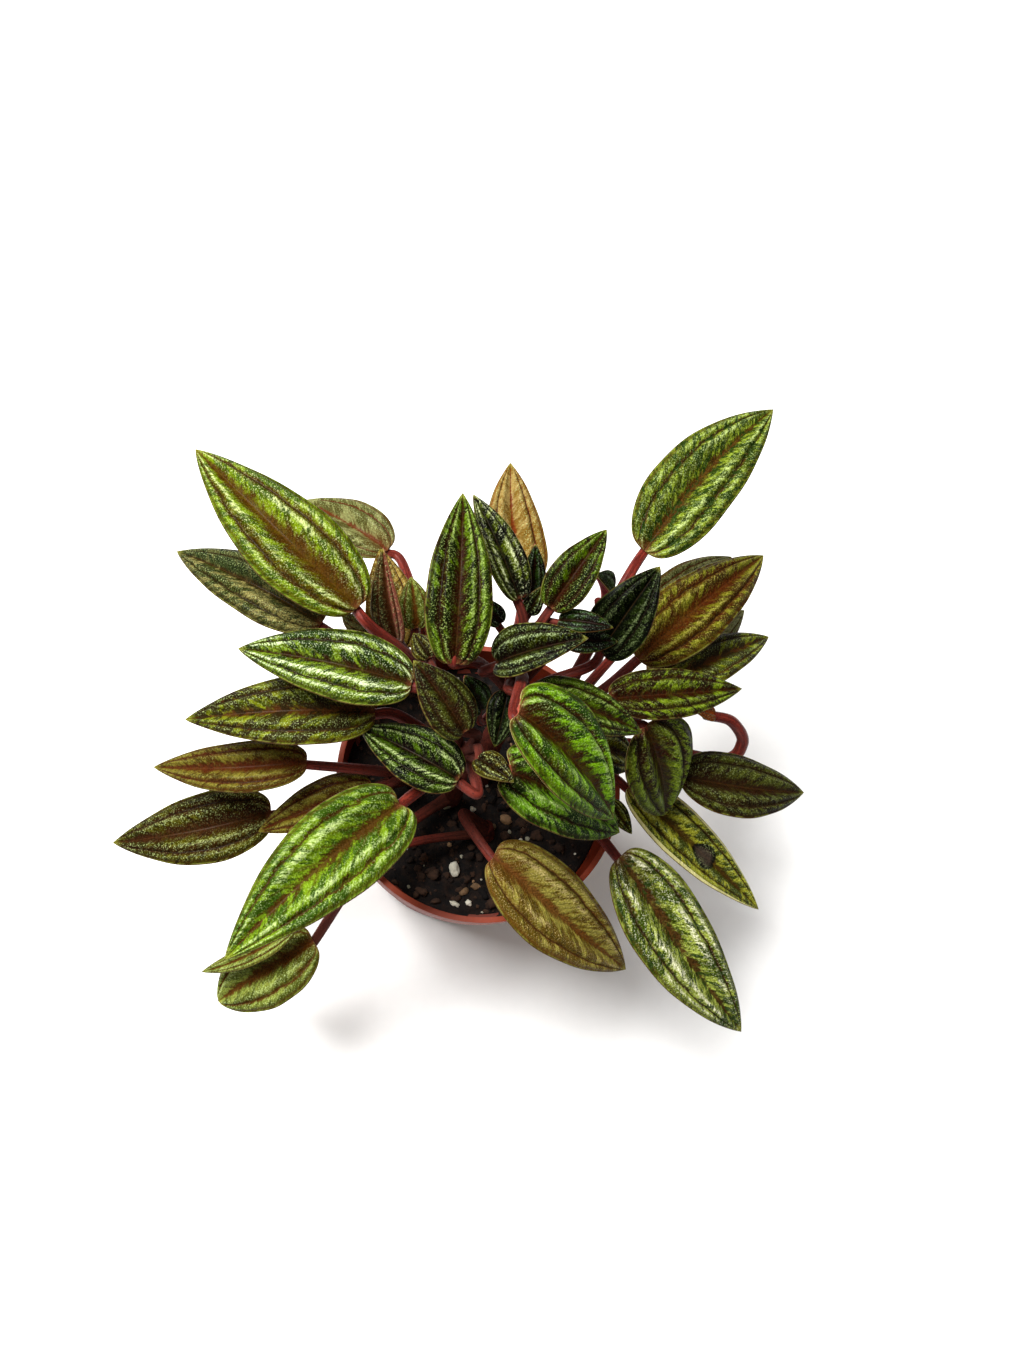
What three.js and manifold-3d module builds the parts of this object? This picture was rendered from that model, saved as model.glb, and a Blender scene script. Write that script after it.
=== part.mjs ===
// A potted peperomia: a tapered pot, its soil, six leafy stems and every leaf blade as its own body.
// Millimetres, +Z up, with the origin at the middle of the pot's foot.

import * as THREE from 'three';
import { mergeVertices } from 'three/addons/utils/BufferGeometryUtils.js';
import Module from 'manifold-3d';

const wasm = await Module();
wasm.setup();

// Driving dimensions
const GAP = 0.3;
const POT = {
  height: 62, rimRadius: 35, footRadius: 25, wall: 1.3, floor: 2,
  collarHeight: 9, collarFootRadius: 34.2, shoulderRadius: 33, segments: 40,
};
const DRAIN = { count: 6, radius: 3, ring: 16 };
const SOIL = { drop: 10, swell: 0.8, clod: 15, crumb: 6, level: 1, rings: 5, segments: 24 };
const STEM = { bury: 7, hole: 8, collar: 3, taper: 0.8, sides: 8 };
const PETIOLE = {
  rootRadius: 1.3, endRadius: 1, sides: 6, steps: 5, middle: 0.45, lift: 0.16, approach: 5, tension: 0.5,
};
const BLADE = { thickness: 0.8, baseShape: 0.5, vein: 0.52, relief: 0.045 };
const HOLE_SIDES = 12;

// How far a cut runs past the face that it opens, how deep a trunk's base reaches into its post, and how
// close two corners of a mesh are to count as one.
const PAST = 1;
const MERGE = 1e-4;

// A blade's grid: its columns across, as shares of the half width, and its stations along. Stations crowd
// towards the base, and blades narrower than the limit take the smaller grid.
const LARGE_GRID = { columns: [-1, -0.78, -0.52, -0.26, 0, 0.26, 0.52, 0.78, 1], stations: 6 };
const SMALL_GRID = { columns: [-1, -0.52, -0.26, 0, 0.26, 0.52, 1], stations: 5 };
const SMALL_WIDTH = 12;
const CROWDING = 1.4;

// What a leaf has where its line below doesn't say otherwise.
const DEFAULT = { arch: 30, fold: 8, roll: 0, sweep: 0, taper: 0.95, standoff: GAP };

const SOIL_TOP = POT.height - SOIL.drop;
const UP = new THREE.Vector3(0, 0, 1);

const MATERIALS = {
  pot: { color: 0xa8503a, roughness: 0.7 },
  soil: { color: 0x241a14, roughness: 1.0 },
  stem: { color: 0x9c453a, roughness: 0.5 },
  lime: { color: 0x6f9a2c, roughness: 0.4 },
  dark: { color: 0x2f5a2a, roughness: 0.4 },
  olive: { color: 0x5f5c26, roughness: 0.45 },
  gold: { color: 0xb39a45, roughness: 0.5 },
};

// Each stem stands in the soil at its foot and leans to its top.
const STEMS = {
  crown: { foot: [1, 3], top: [3, 15, 94], radius: 3 },
  left: { foot: [-6, -3], top: [-7, -1, 88], radius: 2.4 },
  west: { foot: [-16, 1], top: [-18, 0, 62], radius: 2 },
  front: { foot: [3, -12], top: [2, -11, 58], radius: 2 },
  right: { foot: [12, 4], top: [15, 12, 80], radius: 2.6 },
  back: { foot: [-9, 14], top: [-13, 18, 74], radius: 2.4 },
};

// Each leaf: from is the height on its stem where the petiole starts, via are points that the petiole
// passes, base is where it meets the blade, and standoff is its clearance there. The midrib bends by arch
// degrees, the halves are raised by fold degrees, roll turns the blade about its length in degrees, sweep
// bows it sideways in millimetres, and a smaller taper makes its tip blunter.
const LEAVES = {
  crown: [
    { from: 92, via: [[1, 7, 112]], base: [-3.6, -3.2, 124], tip: [23, -18, 98], width: 21, arch: 35,
      standoff: 1.8, fold: 12, roll: 12, tone: 'lime' },
    { from: 88, via: [[-7, 13, 104]], base: [-13.4, 6, 117], tip: [-13.3, 41.6, 124], width: 13.4,
      standoff: 1, tone: 'lime' },
    { from: 92, base: [1, 25, 110], tip: [-10, 47, 115], width: 8.5, fold: 22, tone: 'dark' },
    { from: 70, base: [7, 42, 82], tip: [2, 71, 92], width: 15, sweep: -1.5, tone: 'gold' },
    { from: 90, base: [5, 30, 100], tip: [4, 38, 112], width: 6, tone: 'dark' },
    { from: 92, base: [7, 23, 111], tip: [18, 39, 119], width: 9.5, fold: 20, tone: 'lime' },
    { from: 82, base: [20.3, 18.4, 100], tip: [31, 34, 114], width: 13, fold: 22, tone: 'dark' },
    { from: 90, base: [3, 4, 112], tip: [29, 0, 102], width: 11, tone: 'lime' },
    { from: 86, base: [-1, 6, 107], tip: [-3, -5, 102], width: 7, tone: 'dark' },
    { from: 92, base: [-5, 9.6, 112], tip: [12, 11.4, 124], width: 10.5, fold: 28, tone: 'dark' },
    { from: 93, base: [9, 21.6, 109.5], tip: [20.2, 18.9, 113.5], width: 5.5, tone: 'dark' },
    { from: 90, base: [11.1, 17.9, 106.6], tip: [23.4, 19.3, 105.6], width: 6, tone: 'dark' },
    { from: 92, base: [-2, 22, 104], tip: [-7, 27, 106], width: 5, tone: 'dark' },
    { from: 93, base: [3.4, 24, 106], tip: [5.6, 28, 112], width: 4, tone: 'dark' },
    { from: 86, base: [22.8, 31.4, 99], tip: [18, 32.9, 110], width: 9, fold: 30, roll: -20,
      tone: 'dark' },
    { from: 84, base: [-5, 4, 98], tip: [-10, 9, 106], width: 7, tone: 'dark' },
  ],
  left: [
    { from: 80, base: [-20, 7, 104], tip: [-57, 15, 98], width: 16, tone: 'lime' },
    { from: 76, base: [-26.8, 5, 92], tip: [-68, 3.4, 84], width: 16, tone: 'lime' },
    { from: 78, base: [-20, -14, 92], tip: [-54, -48, 94], width: 19.5, arch: 35, sweep: 0.8,
      tone: 'lime' },
    { from: 80, base: [-2.5, -8.5, 101], tip: [29.4, -16.6, 80], width: 18.2, arch: 35, tone: 'lime' },
    { from: 86, via: [[-6, -4, 98]], base: [-7.2, -8, 104], tip: [0, -14, 108], width: 6, standoff: 0.6,
      tone: 'dark' },
    { from: 86, via: [[-6, -1, 97]], base: [-9, -3, 103], tip: [-21, 10, 110], width: 11, standoff: 0.6,
      tone: 'dark' },
    { from: 84, base: [-8.8, -10.6, 95], tip: [-30.6, 1.7, 90], width: 13.5, tone: 'lime' },
    { from: 55, via: [[-16, -11, 61], [-26, -21, 66]], base: [-37.3, -37.6, 47], tip: [-59.6, -51.3, 36],
      width: 18, taper: 0.7, standoff: 0.9, tone: 'olive' },
  ],
  west: [
    { from: 60, via: [[-27, -3, 74]], base: [-41, -3, 78], tip: [-76, -3, 68], width: 12, sweep: -1.5,
      tone: 'olive' },
    { from: 59, via: [[-34, -8, 65], [-41.8, -9.8, 61]], base: [-48.8, -9.8, 58], tip: [-86, -16.8, 50],
      width: 17, sweep: -1.5, tone: 'olive' },
    { from: 61, base: [-26, -5.5, 70], tip: [-52, -15.5, 62], width: 11.5, tone: 'olive' },
  ],
  front: [
    { from: 56, via: [[-5, -11, 68]], base: [0, -21, 75], tip: [37, -44, 54], width: 19.2, arch: 45,
      sweep: 2, standoff: 0.6, tone: 'olive' },
    { from: 54, via: [[-17, -17, 62], [-26, -25, 66]], base: [-42, -35.8, 55], tip: [-63.5, -45.3, 43],
      width: 5.5, sweep: -1.5, tone: 'olive' },
  ],
  right: [
    { from: 78, via: [[28, 38, 94]], base: [33, 47, 96], tip: [68, 89, 100], width: 20, sweep: -1.5,
      tone: 'lime' },
    { from: 76, via: [[25, 16, 84]], base: [32, 22, 90], tip: [69, 56, 84], width: 17, tone: 'olive' },
    { from: 66, base: [42, 42, 70], tip: [68, 65, 66], width: 14, tone: 'lime' },
    { from: 62, base: [43, 27, 66], tip: [73, 52, 60], width: 14, tone: 'lime' },
    { from: 72, base: [39, 18, 84], tip: [72, 37, 76], width: 12, tone: 'olive' },
    { from: 78, base: [22, 8.1, 100], tip: [55, 14.1, 96], width: 12, arch: 20, sweep: 0.5, tone: 'lime' },
    { from: 74, via: [[23.5, 6.5, 90]], base: [31, 4, 98], tip: [43, -10, 72], width: 20, standoff: 1,
      tone: 'olive' },
    { from: 66, base: [45.5, -1.4, 76], tip: [82, -1, 66], width: 16, sweep: 1.5, tone: 'olive' },
    { from: 62, base: [35, -1.7, 68], tip: [74, -28, 50], width: 13.5, sweep: 1, tone: 'lime' },
    { from: 60, via: [[36, 9, 66.5], [62, 8, 61], [66.8, 11.5, 65.5], [62.2, 15, 71]],
      base: [57.3, 15.9, 73], tip: [50.3, 16, 76], width: 4.5, tone: 'olive' },
    { from: 60, base: [31, -5, 65], tip: [37, -13, 64], width: 5, arch: 10, tone: 'lime' },
    { from: 70, base: [23, 2, 86], tip: [34, 1, 78], width: 11, tone: 'dark' },
    { from: 56, via: [[20, -7, 67], [27, -15, 70]], base: [31, -19.6, 72], tip: [66, -58, 52], width: 20,
      arch: 40, sweep: 2.5, tone: 'lime' },
  ],
  back: [
    { from: 70, base: [-32, 25, 100], tip: [-70, 60, 102], width: 20, sweep: -1.5, tone: 'lime' },
    { from: 66, base: [-40, 28, 84], tip: [-76, 49, 74], width: 16, tone: 'dark' },
    { from: 62, base: [-25, 57, 68], tip: [-49, 74, 60], width: 15, tone: 'olive' },
    { from: 68, base: [-21.9, 27, 73], tip: [-27.9, 51, 80], width: 13, tone: 'gold' },
    { from: 73, base: [-23.2, 25.1, 85], tip: [-28.2, 37.2, 106], width: 7, fold: 36, roll: 35,
      tone: 'dark' },
    { from: 72, base: [-19, 27, 87], tip: [-21, 38, 92], width: 8, tone: 'olive' },
    { from: 64, base: [-29.1, 29.1, 80], tip: [-36, 33.1, 78], width: 6, tone: 'olive' },
    { from: 73, base: [-16, 18, 92], tip: [-20, 24, 92], width: 6, tone: 'olive' },
  ],
};

const radians = THREE.MathUtils.degToRad;
const vector = (point) => new THREE.Vector3(...point);

// A closed mesh of plain positions becomes a solid that can be joined and cut.
function solidOf(geometry) {
  const bare = geometry.index ? geometry.toNonIndexed() : geometry.clone();
  bare.deleteAttribute('normal');
  bare.deleteAttribute('uv');
  const merged = mergeVertices(bare, MERGE);
  const index = merged.index.array;
  const kept = [];
  for (let i = 0; i < index.length; i += 3) {
    const [a, b, c] = [index[i], index[i + 1], index[i + 2]];
    if (a !== b && b !== c && c !== a) kept.push(a, b, c);
  }
  const mesh = new wasm.Mesh({
    numProp: 3,
    vertProperties: new Float32Array(merged.attributes.position.array),
    triVerts: new Uint32Array(kept),
  });
  return new wasm.Manifold(mesh);
}

function geometryOf(solid) {
  const { vertProperties, triVerts, numProp } = solid.getMesh();
  const positions = new Float32Array((vertProperties.length / numProp) * 3);
  for (let i = 0; i < positions.length / 3; i += 1) {
    positions.set(vertProperties.subarray(i * numProp, i * numProp + 3), i * 3);
  }
  const geometry = new THREE.BufferGeometry();
  geometry.setAttribute('position', new THREE.BufferAttribute(positions, 3));
  geometry.setIndex(Array.from(triVerts));
  geometry.computeVertexNormals();
  return geometry;
}

function named(name, geometry, look) {
  const mesh = new THREE.Mesh(geometry, new THREE.MeshStandardMaterial({ ...MATERIALS[look], metalness: 0 }));
  mesh.name = name;
  return mesh;
}

// A body of revolution about +Z from points of radius and height.
function lathe(points, segments) {
  const profile = points.map(([radius, height]) => new THREE.Vector2(radius, height));
  return new THREE.LatheGeometry(profile, segments).rotateX(Math.PI / 2);
}

function upright(radius, bottom, top, x, y, sides) {
  const post = new THREE.CylinderGeometry(radius, radius, top - bottom, sides);
  return post.rotateX(Math.PI / 2).translate(x, y, (top + bottom) / 2);
}

// The radius of the pot's inner wall below its collar, at a height.
function innerRadius(height) {
  const shoulder = POT.height - POT.collarHeight;
  const slope = (POT.shoulderRadius - POT.footRadius) / shoulder;
  return POT.footRadius - POT.wall + slope * height;
}

function makePot() {
  const shoulder = POT.height - POT.collarHeight;
  const ledge = shoulder - POT.wall;
  const body = solidOf(lathe([
    [0, 0],
    [POT.footRadius, 0],
    [POT.shoulderRadius, shoulder],
    [POT.collarFootRadius, shoulder],
    [POT.rimRadius, POT.height],
    [POT.rimRadius - POT.wall, POT.height],
    [POT.collarFootRadius - POT.wall, ledge],
    [innerRadius(ledge), ledge],
    [innerRadius(POT.floor), POT.floor],
    [0, POT.floor],
  ], POT.segments));
  let pot = body;
  for (let i = 0; i < DRAIN.count; i += 1) {
    const angle = (i / DRAIN.count) * 2 * Math.PI;
    const x = DRAIN.ring * Math.cos(angle);
    const y = DRAIN.ring * Math.sin(angle);
    pot = pot.subtract(solidOf(upright(DRAIN.radius, -PAST, POT.floor + PAST, x, y, HOLE_SIDES)));
  }
  return named('pot', geometryOf(pot), 'pot');
}

// The soil's crumbly top, as a height above its mean level.
function soilSwell(x, y) {
  const wave = (length, along) => Math.sin((2 * Math.PI * along) / length);
  const clods = wave(SOIL.clod, x) * wave(SOIL.clod, y);
  const crumbs = wave(SOIL.crumb, x - y) * wave(SOIL.crumb, x + y);
  return (SOIL.swell * (clods + crumbs)) / 2;
}

function makeSoil() {
  const bottom = POT.floor + GAP;
  const edge = innerRadius(SOIL_TOP) - GAP;
  const profile = [[0, bottom], [innerRadius(bottom) - GAP, bottom]];
  for (let ring = SOIL.rings; ring >= 0; ring -= 1) profile.push([(edge * ring) / SOIL.rings, SOIL_TOP]);
  const body = lathe(profile, SOIL.segments);
  const points = body.attributes.position;
  for (let i = 0; i < points.count; i += 1) {
    const [x, y, z] = [points.getX(i), points.getY(i), points.getZ(i)];
    const inside = Math.hypot(x, y) < edge - SOIL.level;
    if (z > bottom + SOIL.level && inside) points.setZ(i, z + soilSwell(x, y));
  }
  let soil = solidOf(body);
  for (const { foot, radius } of Object.values(STEMS)) {
    const [x, y] = foot;
    const hole = upright(radius + GAP, SOIL_TOP - STEM.hole, SOIL_TOP + STEM.hole, x, y, HOLE_SIDES);
    soil = soil.subtract(solidOf(hole));
  }
  return named('soil', geometryOf(soil), 'soil');
}

// A closed tube through the points of a curve, tapering from one radius to another.
function tube(curve, startRadius, endRadius, steps, sides) {
  const frames = curve.computeFrenetFrames(steps, false);
  const positions = [];
  for (let i = 0; i <= steps; i += 1) {
    const centre = curve.getPointAt(i / steps);
    const radius = THREE.MathUtils.lerp(startRadius, endRadius, i / steps);
    for (let k = 0; k < sides; k += 1) {
      const angle = (k / sides) * 2 * Math.PI;
      const point = centre.clone();
      point.addScaledVector(frames.normals[i], radius * Math.cos(angle));
      point.addScaledVector(frames.binormals[i], radius * Math.sin(angle));
      positions.push(point.x, point.y, point.z);
    }
  }
  const index = [];
  for (let i = 0; i < steps; i += 1) {
    for (let k = 0; k < sides; k += 1) {
      const a = i * sides + k;
      const b = i * sides + ((k + 1) % sides);
      index.push(a, b, b + sides, a, b + sides, a + sides);
    }
  }
  const last = steps * sides;
  for (let k = 1; k < sides - 1; k += 1) {
    index.push(0, k + 1, k);
    index.push(last, last + k, last + k + 1);
  }
  const geometry = new THREE.BufferGeometry();
  geometry.setAttribute('position', new THREE.Float32BufferAttribute(positions, 3));
  geometry.setIndex(index);
  return geometry;
}

// The directions of a blade: along it, across it, and out of its upper face.
function bladeFrame({ base, tip, arch = DEFAULT.arch, roll = DEFAULT.roll }) {
  const start = vector(base);
  const along = vector(tip).sub(start);
  const length = along.length();
  along.normalize();
  const face = UP.clone().addScaledVector(along, -along.dot(UP)).normalize();
  face.applyAxisAngle(along, -radians(roll));
  const across = new THREE.Vector3().crossVectors(along, face);
  return { start, along, across, face, length, half: radians(arch) / 2 };
}

// The midrib is an arc that bulges out of the upper face, with its ends at the blade's base and tip.
function midrib(frame, s, sweep) {
  const turn = (2 * s - 1) * frame.half;
  const radius = frame.length / (2 * Math.sin(frame.half));
  const point = frame.start.clone();
  point.addScaledVector(frame.along, radius * (Math.sin(turn) + Math.sin(frame.half)));
  point.addScaledVector(frame.face, radius * (Math.cos(turn) - Math.cos(frame.half)));
  point.addScaledVector(frame.across, sweep * Math.sin(Math.PI * s));
  const normal = frame.face.clone().multiplyScalar(Math.cos(turn));
  normal.addScaledVector(frame.along, Math.sin(turn));
  const tangent = frame.along.clone().multiplyScalar(Math.cos(turn));
  tangent.addScaledVector(frame.face, -Math.sin(turn));
  return { point, normal, tangent };
}

// The blade's half width along it, as a share of the widest: round at the base and drawn out to the tip.
function outline(s, taper) {
  const widest = BLADE.baseShape / (BLADE.baseShape + taper);
  const shape = (at) => at ** BLADE.baseShape * (1 - at) ** taper;
  return shape(s) / shape(widest);
}

// The blade swells between its sunken veins, which lie at the midrib and at both sides of it.
function swell(t) {
  return Math.abs(Math.sin((Math.PI * t) / BLADE.vein));
}

function makeBlade(name, leaf) {
  const { columns, stations } = leaf.width < SMALL_WIDTH ? SMALL_GRID : LARGE_GRID;
  const frame = bladeFrame(leaf);
  const sweep = leaf.sweep ?? DEFAULT.sweep;
  const slope = Math.tan(radians(leaf.fold ?? DEFAULT.fold));
  const taper = leaf.taper ?? DEFAULT.taper;
  const positions = [];
  const pair = (point, normal) => {
    const under = point.clone().addScaledVector(normal, -BLADE.thickness);
    positions.push(point.x, point.y, point.z, under.x, under.y, under.z);
    return positions.length / 3 - 2;
  };
  const rows = [];
  for (let i = 0; i <= stations; i += 1) {
    const s = (i / stations) ** CROWDING;
    const { point, normal } = midrib(frame, s, sweep);
    if (i === 0 || i === stations) {
      rows.push(columns.map(() => null).fill(pair(point, normal)));
      continue;
    }
    const half = (leaf.width / 2) * outline(s, taper);
    rows.push(columns.map((t) => {
      const lift = Math.abs(t) * half * slope + swell(t) * BLADE.relief * 2 * half;
      const place = point.clone().addScaledVector(frame.across, t * half).addScaledVector(normal, lift);
      return pair(place, normal);
    }));
  }
  const index = [];
  const triangle = (a, b, c) => {
    if (a === b || b === c || c === a) return;
    index.push(a, b, c, a + 1, c + 1, b + 1);
  };
  const edge = (a, b) => index.push(a, a + 1, b + 1, a, b + 1, b);
  for (let i = 0; i < stations; i += 1) {
    for (let k = 0; k < columns.length - 1; k += 1) {
      const [a, b, c, d] = [rows[i][k], rows[i][k + 1], rows[i + 1][k + 1], rows[i + 1][k]];
      if (columns[k] < 0) {
        triangle(a, b, c);
        triangle(a, c, d);
      } else {
        triangle(a, b, d);
        triangle(b, c, d);
      }
    }
    edge(rows[i + 1][0], rows[i][0]);
    edge(rows[i][columns.length - 1], rows[i + 1][columns.length - 1]);
  }
  const geometry = new THREE.BufferGeometry();
  geometry.setAttribute('position', new THREE.Float32BufferAttribute(positions, 3));
  geometry.setIndex(index);
  geometry.computeVertexNormals();
  return named(name, geometry, leaf.tone);
}

// The axis of a stem at a height above the pot's foot.
function stemPoint(stem, height) {
  const share = (height - SOIL_TOP) / (stem.top[2] - SOIL_TOP);
  return new THREE.Vector3(
    THREE.MathUtils.lerp(stem.foot[0], stem.top[0], share),
    THREE.MathUtils.lerp(stem.foot[1], stem.top[1], share),
    height,
  );
}

function petiole(stem, leaf) {
  const frame = bladeFrame(leaf);
  const { point, normal, tangent } = midrib(frame, 0, 0);
  const end = point.addScaledVector(normal, -BLADE.thickness / 2);
  const root = stemPoint(stem, leaf.from);
  const points = [root];
  if (leaf.via) {
    const last = vector(leaf.via.at(-1));
    end.addScaledVector(last.clone().sub(end).normalize(), leaf.standoff ?? DEFAULT.standoff);
    points.push(...leaf.via.map(vector));
  } else {
    end.addScaledVector(tangent, -GAP);
    const before = end.clone().addScaledVector(tangent, -PETIOLE.approach);
    const span = root.distanceTo(before);
    const middle = root.clone().lerp(before, PETIOLE.middle).addScaledVector(UP, span * PETIOLE.lift);
    points.push(middle, before);
  }
  points.push(end);
  const curve = new THREE.CatmullRomCurve3(points, false, 'catmullrom', PETIOLE.tension);
  return tube(curve, PETIOLE.rootRadius, PETIOLE.endRadius, PETIOLE.steps, PETIOLE.sides);
}

function makeStem(name, stem, leaves) {
  const axis = new THREE.LineCurve3(stemPoint(stem, SOIL_TOP + STEM.collar - PAST), vector(stem.top));
  const [x, y] = stem.foot;
  let body = solidOf(upright(stem.radius, SOIL_TOP - STEM.bury, SOIL_TOP + STEM.collar, x, y, STEM.sides));
  const trunk = tube(axis, stem.radius, stem.radius * STEM.taper, 1, STEM.sides);
  body = body.add(solidOf(trunk));
  for (const leaf of leaves) body = body.add(solidOf(petiole(stem, leaf)));
  return named(name, geometryOf(body), 'stem');
}

const plant = new THREE.Group();
plant.add(makePot());
plant.add(makeSoil());
for (const [place, stem] of Object.entries(STEMS)) {
  plant.add(makeStem(`stem_${place}`, stem, LEAVES[place]));
  LEAVES[place].forEach((leaf, i) => plant.add(makeBlade(`leaf_${place}_${i + 1}`, leaf)));
}

export default plant;
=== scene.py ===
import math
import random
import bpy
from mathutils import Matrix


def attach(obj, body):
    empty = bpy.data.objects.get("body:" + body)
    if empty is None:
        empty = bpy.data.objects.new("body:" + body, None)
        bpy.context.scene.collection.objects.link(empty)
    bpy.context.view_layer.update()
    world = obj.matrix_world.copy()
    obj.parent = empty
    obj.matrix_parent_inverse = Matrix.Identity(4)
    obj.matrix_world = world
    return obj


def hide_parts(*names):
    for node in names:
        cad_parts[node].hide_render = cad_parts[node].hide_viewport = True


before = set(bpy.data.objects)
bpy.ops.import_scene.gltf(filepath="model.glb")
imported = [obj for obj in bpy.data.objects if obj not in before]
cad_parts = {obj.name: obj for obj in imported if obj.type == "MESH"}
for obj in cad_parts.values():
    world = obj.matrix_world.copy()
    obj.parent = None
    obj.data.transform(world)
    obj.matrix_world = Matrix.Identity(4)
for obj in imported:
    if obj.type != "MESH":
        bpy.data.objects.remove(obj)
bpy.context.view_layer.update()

# A potted peperomia: striped fleshy leaves on red petioles, in soil, in a tapered plastic pot.
# Sizes in the tables are millimetres, as on the real plant. MM turns them into metres.

from types import SimpleNamespace as Table

import bmesh
import bpy
import numpy as np
from mathutils import Matrix, Vector, noise

MM = 0.001

# Driving dimensions, the same as the solids have, and those of the finer forms
POT = Table(
    height=62, rim_radius=35, foot_radius=25, wall=1.3, floor=2,
    collar_height=9, collar_foot_radius=34.2, shoulder_radius=33,
    lip_height=1.6, lip_slope=0.3, lip_proud=0.35, edge_radius=0.35,
    segments=160, edge_segments=3, edge_angle=28, sharp_angle=35,
)
DRAIN = Table(count=6, radius=3, ring=16, sides=32, past=1)
# lumps and grit are the size and the height of finer relief, and a number that sets its pattern.
SOIL = Table(
    top=52, clod=15, crumb=6, swell=0.8, swell_share=0.7, lumps=(3.1, 0.75, 4.2),
    grit=(1.1, 0.4, 7.7), gap=0.3, clearance=0.1, edge_drop=0.2, shoulder_drop=1.2,
    tone=0.3, tone_size=2, rings=70, segments=200, spread=31.6,
)
TRUNK = Table(
    bury=7, bury_steps=4, steps=40, sides=20, taper=0.2, slim=0.94,
    ring=0.12, ring_turn=26, end=0.6, youth=0.55,
)
PETIOLE = Table(
    root_radius=1.45, end_radius=1.1, sides=16, steps=13, middle=0.45, lift=0.16,
    approach=5, tuck=0.07, groove=0.24, groove_width=0.55, sheath=0.35, sheath_reach=0.07,
    flare=0.15, flare_at=0.93, flare_reach=0.05, pinch=0.65, pinch_from=0.95, slim=0.62,
    full_width=42, old_height=16, old_reach=12, low_age=0.7, near_age=0.9,
)
BLADE = Table(
    thickness=0.75, edge_share=0.5, base_shape=0.5, taper=0.95, relief=0.08, crease=0.12,
    inset=0.8, inset_share=0.06, sinus=0.012, curl=0.02, crowding=1.5, lateral=0.6,
    outer=0.93, pillow=4.5, pillow_rise=0.02, wave=0.02, dimple=0.03, dimple_width=0.12,
    slim=0.6, full_width=30, rib=0.7, rib_width=0.9, rib_fade=0.85, side_rib=0.15,
    side_rib_width=0.12, edge_round=0.12, grain_step=7.3,
)
# A blade wider than the first number has this many rows along it and columns across it.
GRIDS = [(13, 72, 48), (8, 44, 32), (0, 30, 24)]
UP = Vector((0, 0, 1))
# A stem that stands upright needs a reference that isn't UP.
LEAN = Vector((0.01, 0.02, 0))

# Each stem leans from its foot in the soil to its top.
STEMS = {
    "crown": Table(foot=(1, 3), top=(3, 15, 94), radius=3),
    "left": Table(foot=(-6, -3), top=(-7, -1, 88), radius=2.4),
    "west": Table(foot=(-16, 1), top=(-18, 0, 62), radius=2),
    "front": Table(foot=(3, -12), top=(2, -11, 58), radius=2),
    "right": Table(foot=(12, 4), top=(15, 12, 80), radius=2.6),
    "back": Table(foot=(-9, 14), top=(-13, 18, 74), radius=2.4),
}


def leaf(start, base, tip, width, kind, **more):
    """start is the petiole's height on its stem, and via the points that it passes on the way to the blade.
    arch, fold and roll are degrees, sweep bows the blade sideways, a smaller taper makes its tip blunter,
    inset is how far in the petiole joins it, and stout thickens the petiole."""
    plain = {"via": (), "arch": 30, "fold": 8, "roll": 0, "sweep": 0, "taper": BLADE.taper,
             "inset": BLADE.inset, "under": "pale", "stout": 1}
    return Table(start=start, base=base, tip=tip, width=width, look=kind, **{**plain, **more})


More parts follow.
